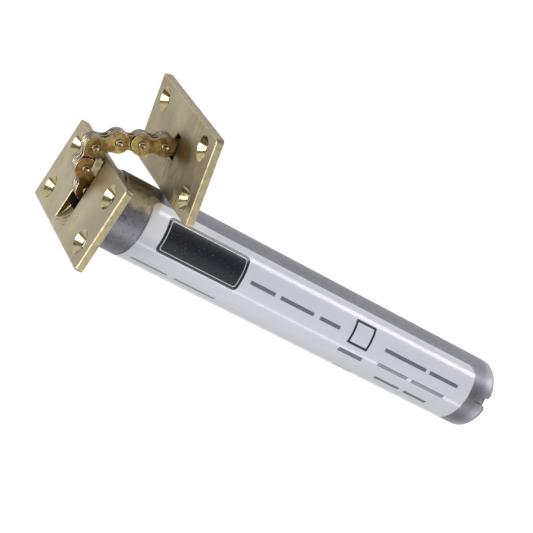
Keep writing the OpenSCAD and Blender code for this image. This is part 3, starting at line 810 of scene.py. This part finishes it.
def at_slot(middle):
    """Whether a place on a plate, in mm from its middle, belongs to the slot."""
    return abs(middle.y) < SLOT_AREA_Y and abs(middle.z) < SLOT_AREA_Z


def plate_finish(middle, normal):
    """Which finish a plate's face has, by its middle in mm and its normal."""
    front, slot = abs(normal.x), at_slot(middle)
    hole = Vector((abs(middle.y) - HOLE_Y, abs(middle.z) - HOLE_Z)).length
    if hole < SINK_R + 0.1 and front < 0.97:
        return SINK
    if front > (0.8 if slot else 0.97):
        return SATIN
    if front > 0.2:
        return BEVEL
    if slot:
        return SLOT_WALL
    # Sides facing +Y take a darker copy of the side finish: painted shade
    return SHADED_SIDE if normal.y > 0.5 else SIDE


class CLOSER_OT_plates(bpy.types.Operator):
    """Finish the face plate and the anchor plate in worn satin brass"""

    bl_idname = "closer.plates"
    bl_label = "Brass plates"

    def execute(self, context):
        sizes, colours = context.scene.closer_sizes, context.scene.closer_colours
        for name, node, at, turn in (
            ("face_plate_finished", "face_plate", Vector((0, 0, 0)), 0.0),
            ("anchor_plate_finished", "anchor_plate", ANCHOR_AT, radians(ANCHOR_TURN)),
        ):
            bm = merged(node)
            back = Matrix.Rotation(-turn, 3, "Z")

            def slot_edge(edge, at=at, back=back):
                """Whether an edge lies at the plate's slot."""
                return all(at_slot(back @ (vert.co - at) / MM) for vert in edge.verts)

            soften(bm, sizes.slot_edge, 1, 34, slot_edge)
            soften(bm, sizes.plate_edge, 2, 34, lambda edge: not slot_edge(edge))
            smooth(bm)
            for face in bm.faces:
                middle = back @ (face.calc_center_median() - at) / MM
                face.material_index = plate_finish(middle, back @ face.normal)
            place = (tuple(at), (0, 0, turn))
            gold = toward(tuple(colours.brass), (0.74, 0.62, 0.36), 0.45)
            rubbed = shade(toward(gold, (0.90, 0.78, 0.50), 0.5), 0.5)
            edges = (
                ("_sides", shade(gold, 0.92), (0.34, 0.46)),
                ("_bevels", rubbed, (0.40, 0.50)),
                # A darker copy of the sides for those facing +Y: painted shade
                ("_shaded_sides", (0.28, 0.22, 0.14), (0.34, 0.48)),
                ("_slot_walls", (0.25, 0.175, 0.065), (0.30, 0.46)),
            )
            finishes = [
                brass_face(node + "_satin", colours, *place, node == "face_plate"),
                brass_sink(node + "_sinks", colours, *place),
                *(brass_edge(node + end, light, *place, rough) for end, light, rough in edges),
            ]
            even_shading(piece(name, bm, finishes, "brass", node))
        return {"FINISHED"}


class CLOSER_OT_chain_plates(bpy.types.Operator):
    """Round the edges of the chain's plates: tarnished faces, painted highlight rims, painted shade sides"""

    bl_idname = "closer.chain_plates"
    bl_label = "Chain plates"

    def execute(self, context):
        sizes, colours = context.scene.closer_sizes, context.scene.closer_colours
        finishes = [
            chain_face(colours),
            # The pale tone on the rims is a painted highlight, the near-black one on the sides painted shade
            chain_edge("chain_rim_highlight", (0.74, 0.67, 0.50), (0.40, 0.32, 0.18)),
            chain_edge("chain_edge", (0.095, 0.08, 0.066), (0.03, 0.023, 0.017)),
        ]
        for number in range(1, 9):
            bm = merged(f"link_{number}")
            soften(bm, sizes.link_edge, segments=3, degrees=40)
            smooth(bm, 26)
            for face in bm.faces:
                up = abs(face.normal.z)
                # Flat faces tarnished, rims the painted highlight, sides the painted shade
                face.material_index = 0 if up > 0.93 else 1 if up > 0.25 else 2
            even_shading(
                piece(f"chain_plates_{number}", bm, finishes, "chain_plate", f"link_{number}")
            )
        return {"FINISHED"}


class CLOSER_OT_chain_pins(bpy.types.Operator):
    """Turn the chain's pins with hammered, dimpled ends and a painted shadow in each dimple"""

    bl_idname = "closer.chain_pins"
    bl_label = "Chain pins"

    def execute(self, context):
        sizes, colours = context.scene.closer_sizes, context.scene.closer_colours
        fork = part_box("link_1_pins")[1].x - 1.6 * MM
        places = [Vector((fork, 0, 0))]
        places += [Vector(JOINT[f"link_{n}_hinge"]["pos_m"]) for n in range(2, 9)]
        places.append(ANCHOR_PIN)
        gold = toward(tuple(colours.chain), (0.68, 0.62, 0.48), 0.7)
        finishes = [
            pin_steel("pin_end", gold, (0.26, 0.19, 0.10)),
            # A near-black copy: the painted shadow on one side of each dimple
            pin_steel("pin_dimple_shadow", (0.07, 0.05, 0.03), (0.03, 0.02, 0.012)),
        ]
        rim, dimple, pin_r = sizes.pin_rim / MM, sizes.pin_dimple / MM, 1.6
        for number in (1, 3, 5, 7):
            node = f"link_{number}_pins"
            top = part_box(node)[1].z / MM
            half = [
                (0, top - dimple), (rim * 0.22, top - dimple), (rim * 0.42, top - dimple * 0.98),
                (rim * 0.6, top - dimple * 0.9), (rim * 0.7, top - dimple * 0.55),
                (rim * 0.74, top - 0.1), (rim * 0.8, top - 0.02), (rim * 0.9, top),
                (rim, top - 0.06), (1.56, top - 0.2), (pin_r, top - 0.36),
            ]
            outline = half + [(r, -h) for r, h in reversed(half)]
            bm = bmesh.new()
            for place in places[number - 1 : number + 1]:
                lathe(bm, outline, place, (0, 0, 1))
            sealed(bm)
            smooth(bm, 60)
            for face in bm.faces:
                spot = face.calc_center_median()
                ways = [Vector((spot.x, spot.y, 0)) - place for place in places]
                off = min(ways, key=lambda way: way.length) / sizes.pin_rim
                # Faces inside the dimple on one side take the painted shadow
                face.material_index = int(off.length < 0.76 and off.dot(SHADOW_SIDE) > 0.16)
            piece(f"chain_pins_{number}", bm, finishes, "chain_pin", node)
        return {"FINISHED"}


class CLOSER_OT_keeper(bpy.types.Operator):
    """Soften the pale keeper that holds the chain out"""

    bl_idname = "closer.keeper"
    bl_label = "Keeper"

    def execute(self, context):
        edge = context.scene.closer_sizes.keeper_edge
        finish = pale_plastic(context.scene.closer_colours)
        refined("keeper_moulded", "keeper", finish, "keeper_plastic", edge)
        return {"FINISHED"}


class CLOSER_OT_tube(bpy.types.Operator):
    """Finish the tube, its pins and the closed end in dull grey steel"""

    bl_idname = "closer.tube"
    bl_label = "Tube and closed end"

    def execute(self, context):
        grey = tube_steel(context.scene.closer_colours)
        edge = context.scene.closer_sizes.tube_edge
        refined("tube_drawn", "tube", grey, "tube_steel", edge)
        turned = metal("turned_steel", (0.46, 0.46, 0.47), (0.30, 0.30, 0.31), 2.0, (1, 8, 8))
        refined("end_plug_turned", "end_plug", turned, "turned_steel")
        pins = metal("pin_steel_dark", (0.24, 0.235, 0.23), (0.14, 0.13, 0.125), 1.0)
        refined("head_pins_set", "head_pins", pins, "tube_steel", 0.25 * MM)
        return {"FINISHED"}


class CLOSER_OT_label(bpy.types.Operator):
    """Finish the wrap label as a pale glossy film with plain printed blocks"""

    bl_idname = "closer.label"
    bl_label = "Label"

    def execute(self, context):
        scene = context.scene
        bm = merged("label")
        smooth(bm)
        film = label_film(scene.closer_colours, scene.closer_sizes)
        piece("label_wrap", bm, [film], "label_film", "label")
        return {"FINISHED"}


class CLOSER_OT_collar(bpy.types.Operator):
    """Spin the dark lumpy collar between the neck and the tube"""

    bl_idname = "closer.collar"
    bl_label = "Collar"

    def execute(self, context):
        low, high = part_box("collar_ring")
        inner, outer = 14.45, high.y / MM
        front, rear = low.x / MM, high.x / MM
        outline = [
            (inner, front + 0.1), (outer - 0.5, front), (outer - 0.15, front + 0.25),
            (outer, front + 0.7), (outer, rear - 0.5), (outer - 0.2, rear - 0.1),
            (outer - 0.6, rear), (inner, rear - 0.1),
        ]
        bm = bmesh.new()
        lathe(bm, outline, (0, 0, 0), (1, 0, 0), steps=120)
        sealed(bm)
        spans = [e for e in bm.edges if abs(e.verts[0].co.x - e.verts[1].co.x) > 0.3 * MM]
        bmesh.ops.subdivide_edges(bm, edges=spans, cuts=2)
        lump, lump_size = context.scene.closer_sizes.collar_lump, 1.4 * MM
        for vert in bm.verts:
            out = Vector((0, vert.co.y, vert.co.z))
            if out.length > 14.9 * MM:
                drop = 0.5 - 0.5 * noise.noise(vert.co / lump_size)
                vert.co -= out.normalized() * lump * 1.6 * drop
        bmesh.ops.recalc_face_normals(bm, faces=bm.faces)
        smooth(bm, 60)
        piece("collar_sealant", bm, [dark_glaze()], "dark_collar", "collar_ring")
        return {"FINISHED"}


class CLOSER_OT_head(bpy.types.Operator):
    """Finish the cast head and the cup and pin behind the anchor plate"""

    bl_idname = "closer.head"
    bl_label = "Head and anchor cup"

    def execute(self, context):
        cast = metal(
            "cast_dark", (0.04, 0.036, 0.033), (0.018, 0.016, 0.015), 3.0, rough=(0.5, 0.7),
            depth=0.06,
        )
        refined("head_cast", "head", cast, "cast_head", 0.2 * MM)
        refined("anchor_cup", "anchor_bracket", cast, "cast_head", 0.4 * MM)
        bright = metal("ground_pin", (0.56, 0.55, 0.53), (0.36, 0.34, 0.31), 1.2)
        refined("anchor_pin_ground", "anchor_pin", bright, "chain_pin", 0.3 * MM)
        return {"FINISHED"}


class CLOSER_OT_springs(bpy.types.Operator):
    """Wind the closing spring and the check valve's spring"""

    bl_idname = "closer.springs"
    bl_label = "Springs"

    def execute(self, context):
        turns = context.scene.closer_sizes.spring_turns
        oiled = metal("spring_oiled", (0.16, 0.155, 0.15), (0.07, 0.065, 0.06), 1.5, (1, 6, 6))
        low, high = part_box("main_spring")
        wire = 1.5 * MM
        made = piece(
            "closing_spring", coil(low.x, high.x, high.y - wire, wire, turns, 14, 28), [oiled],
            "spring_steel", "main_spring",
        )
        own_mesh(made)
        low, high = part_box("ball_spring")
        wire = 0.18 * MM
        reach = (high.z - low.z) / 2 - wire
        wound = coil(low.x, high.x, reach, wire, 5, 8, 20)
        bmesh.ops.translate(wound, verts=wound.verts, vec=(0, (low.y + high.y) / 2, 0))
        made = piece("valve_spring", wound, [oiled], "spring_steel", "ball_spring")
        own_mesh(made)
        return {"FINISHED"}


class CLOSER_OT_inside(bpy.types.Operator):
    """Give the pieces inside the cylinder their machined, rubber and bronze finishes"""

    bl_idname = "closer.inside"
    bl_label = "Inside pieces"

    def execute(self, context):
        rings = (1, 8, 8)
        bronze = metal("turned_bronze", (0.52, 0.36, 0.17), (0.34, 0.21, 0.09), 1.5, rings)
        steel = metal("machined_steel", (0.44, 0.44, 0.45), (0.28, 0.28, 0.285), 2.0, rings)
        chrome = metal(
            "ground_chrome", (0.66, 0.66, 0.67), (0.52, 0.52, 0.54), 4.0, rings, (0.08, 0.16), 0.004
        )
        for finish, nodes in (
            (steel, ("gland", "gland_clip", "rod_fork", "piston", "piston_nut")),
            (bronze, ("rod_bush", "regulator", "valve_screw")),
            (chrome, ("pull_rod", "check_ball")),
            (rubber(), ("gland_oring", "rod_seal", "end_oring", "piston_seal")),
        ):
            for node in nodes:
                for holder in frame["nodes"][node].material_slots:
                    holder.material = finish
        return {"FINISHED"}


def lay_floor(scene, glow):
    """A pale floor just under the lowest piece, with a glow that no shadow takes away."""
    bm = bmesh.new()
    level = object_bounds()[0].z - 0.0004
    bmesh.ops.create_grid(
        bm, x_segments=1, y_segments=1, size=2.5, matrix=Matrix.Translation((0.1, 0, level))
    )
    mesh = bpy.data.meshes.new("floor")
    bm.to_mesh(mesh)
    bm.free()
    floor = bpy.data.objects.new("floor", mesh)
    scene.collection.objects.link(floor)
    floor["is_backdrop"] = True
    f = Finish("floor_paper")
    white = tuple(scene.closer_colours.floor)
    base = f.colour(f.cloud(40, 3), white, shade(white, 0.985))
    mesh.materials.append(
        f.surface(
            base, 0.9, 0.0, f.relief(f.cloud(2, 3), 0.01), Specular_IOR_Level=0.1,
            Emission_Color=(1.0, 1.0, 1.0), Emission_Strength=glow,
        )
    )


def turned(right, up, ahead, place):
    """The matrix of a camera or a light that looks ahead from its place."""
    return Matrix.Translation(place) @ Matrix((right, up, -ahead)).transposed().to_4x4()


def hang_light(scene, name, place, target, size, power):
    """A rectangular light whose first side stays as parallel to the cylinder as it can."""
    data = bpy.data.lights.new(name, "AREA")
    data.shape, data.size, data.size_y, data.energy = "RECTANGLE", *size, power
    lamp = bpy.data.objects.new(name, data)
    ahead = (Vector(target) - Vector(place)).normalized()
    along = (Vector((1, 0, 0)) - ahead * ahead.x).normalized()
    lamp.matrix_world = turned(along, along.cross(ahead), ahead, place)
    scene.collection.objects.link(lamp)


def soft_surround(scene, strength):
    """Light from all round, brightest about the ceiling."""
    world = bpy.data.worlds.get("soft_surround") or bpy.data.worlds.new("soft_surround")
    scene.world = world
    world.use_nodes = True
    tree = world.node_tree
    tree.nodes.clear()
    add, link = tree.nodes.new, tree.links.new
    sky = add("ShaderNodeBackground")
    nearness = add("ShaderNodeVectorMath")
    nearness.operation = "DOT_PRODUCT"
    nearness.inputs[1].default_value = CEILING
    tones = add("ShaderNodeValToRGB")
    ramp = tones.color_ramp
    ramp.interpolation = "EASE"
    ramp.elements[0].position, ramp.elements[0].color = 0.74, (0.31, 0.31, 0.32, 1)
    ramp.elements[1].position, ramp.elements[1].color = 0.95, (1, 1, 1, 1)
    link(add("ShaderNodeTexCoord").outputs["Generated"], nearness.inputs[0])
    link(nearness.outputs["Value"], tones.inputs[0])
    link(tones.outputs[0], sky.inputs["Color"])
    link(sky.outputs[0], add("ShaderNodeOutputWorld").inputs[0])
    sky.inputs["Strength"].default_value = strength


def place_camera(scene):
    """The photograph's view."""
    data = bpy.data.cameras.new("camera")
    data.lens, data.sensor_width = CAMERA_LENS, 36.0
    data.clip_start, data.clip_end = 0.02, 20.0
    camera = bpy.data.objects.new("camera", data)
    camera.matrix_world = turned(CAMERA_RIGHT, CAMERA_UP, CAMERA_AHEAD, CAMERA_AT)
    scene.collection.objects.link(camera)
    scene.camera = camera


class CLOSER_OT_stage(bpy.types.Operator):
    """Set the pale floor, the soft lights and the camera of the photograph"""

    bl_idname = "closer.stage"
    bl_label = "Stage"

    def execute(self, context):
        scene, lights = context.scene, context.scene.closer_lights
        for name in ("floor", "light_overhead", "light_front", "light_back", "camera"):
            if name in bpy.data.objects:
                bpy.data.objects.remove(bpy.data.objects[name])
        lay_floor(scene, lights.glow)
        middle = (0.11, 0, 0)
        for light in (
            ("light_overhead", (0.70, -0.62, 0.78), middle, (0.76, 0.12), lights.overhead),
            ("light_front", (-0.85, -0.22, 0.40), (0.02, 0, 0), (0.6, 0.6), lights.front),
            ("light_back", (0.74, 1.0, 0.37), middle, (0.76, 0.2), lights.back),
        ):
            hang_light(scene, *light)
        soft_surround(scene, lights.sky)
        place_camera(scene)
        scene.view_settings.view_transform = "Standard"
        return {"FINISHED"}


class CLOSER_PT_panel(bpy.types.Panel):
    """Lists the pieces, the stage and their settings"""

    bl_label = "Chain door closer"
    bl_idname = "CLOSER_PT_panel"
    bl_space_type = "VIEW_3D"
    bl_region_type = "UI"
    bl_category = "Closer"

    def draw(self, context):
        layout = self.layout
        for made in OPERATORS:
            layout.operator(made.bl_idname)
        for group in SETTINGS:
            settings = getattr(context.scene, group)
            box = layout.box()
            for key in settings.__annotations__:
                box.prop(settings, key)


OPERATORS = (
    CLOSER_OT_plates, CLOSER_OT_chain_plates, CLOSER_OT_chain_pins, CLOSER_OT_keeper,
    CLOSER_OT_tube, CLOSER_OT_label, CLOSER_OT_collar, CLOSER_OT_head, CLOSER_OT_springs,
    CLOSER_OT_inside, CLOSER_OT_stage,
)
SETTINGS = {
    "closer_sizes": CloserSizes, "closer_colours": CloserColours, "closer_lights": CloserLights,
}
CLASSES = (*SETTINGS.values(), *OPERATORS, CLOSER_PT_panel)


def register():
    for made in CLASSES:
        bpy.utils.register_class(made)
    for name, group in SETTINGS.items():
        setattr(bpy.types.Scene, name, bpy.props.PointerProperty(type=group))


def unregister():
    for name in SETTINGS:
        delattr(bpy.types.Scene, name)
    for made in reversed(CLASSES):
        bpy.utils.unregister_class(made)


def main():
    register()
    bpy.ops.closer.plates()
    bpy.ops.closer.chain_plates()
    bpy.ops.closer.chain_pins()
    bpy.ops.closer.keeper()
    bpy.ops.closer.tube()
    bpy.ops.closer.label()
    bpy.ops.closer.collar()
    bpy.ops.closer.head()
    bpy.ops.closer.springs()
    bpy.ops.closer.inside()
    bpy.ops.closer.stage()


if __name__ == "__main__":
    main()
